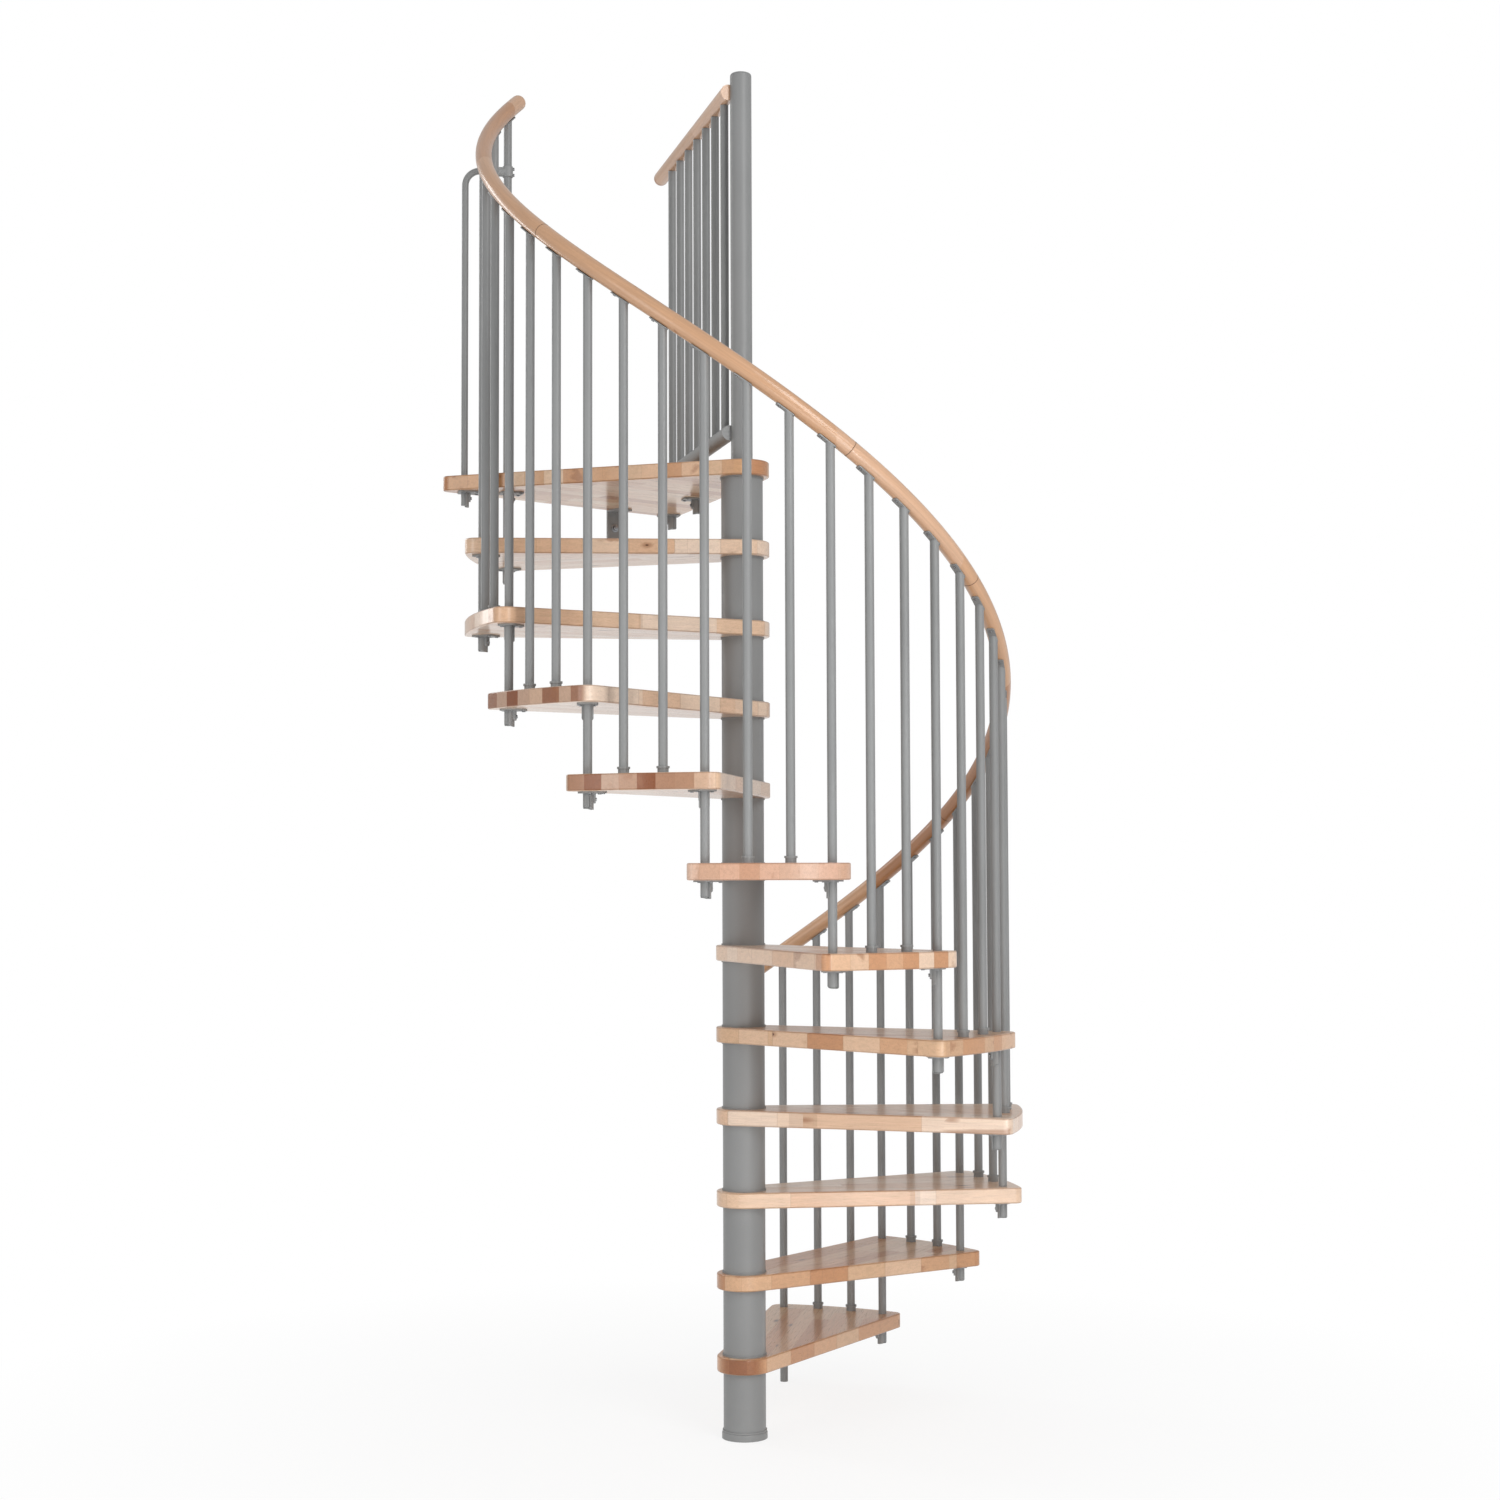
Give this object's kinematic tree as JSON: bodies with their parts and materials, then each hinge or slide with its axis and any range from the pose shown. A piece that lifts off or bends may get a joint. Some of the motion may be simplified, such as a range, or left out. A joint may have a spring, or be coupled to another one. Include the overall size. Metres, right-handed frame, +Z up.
{
  "type": "spiral staircase",
  "caption": "Clockwise spiral staircase: steel column, wedge-shaped beech treads, landing, upright steel balusters and a round beech handrail.",
  "frame": {"origin": "centre of the base flange's underside, on the floor, on the column's axis", "axes": "+Z up along the column; -Y faces the viewer of the picture; the stair climbs clockwise seen from above, starting behind the column"},
  "size_m": [1.5281, 1.5128, 3.593],
  "materials": {
    "column_steel": "satin powder coat",
    "baluster_steel": "satin powder coat",
    "fitting_steel": "satin powder coat",
    "tread_beech": "clear satin lacquer on jointed beech blocks",
    "rail_beech": "clear satin lacquer"
  },
  "bodies": {
    "root": {"base_flange": "column_steel", "centre_pole": "column_steel", "pole_cap": "column_steel", "column_spacers": "column_steel", "landing_washer": "column_steel", "tread_01": "tread_beech", "tread_02": "tread_beech", "tread_03": "tread_beech", "tread_04": "tread_beech", "tread_05": "tread_beech", "tread_06": "tread_beech", "tread_07": "tread_beech", "tread_08": "tread_beech", "tread_09": "tread_beech", "tread_10": "tread_beech", "tread_11": "tread_beech", "landing": "tread_beech", "balusters_00": "baluster_steel", "balusters_01": "baluster_steel", "balusters_02": "baluster_steel", "balusters_03": "baluster_steel", "balusters_04": "baluster_steel", "balusters_05": "baluster_steel", "balusters_06": "baluster_steel", "balusters_07": "baluster_steel", "balusters_08": "baluster_steel", "balusters_09": "baluster_steel", "balusters_10": "baluster_steel", "balusters_11": "baluster_steel", "guard_tube": "baluster_steel", "guard_balusters": "baluster_steel", "hook_tube": "baluster_steel", "brackets_lower": "fitting_steel", "brackets_middle": "fitting_steel", "brackets_upper": "fitting_steel", "brackets_landing": "fitting_steel", "tube_clamp": "fitting_steel", "floor_bracket": "fitting_steel", "handrail_1": "rail_beech", "handrail_2": "rail_beech", "handrail_3": "rail_beech", "handrail_4": "rail_beech", "handrail_5": "rail_beech", "guard_rail": "rail_beech"}
  },
  "joints": []
}
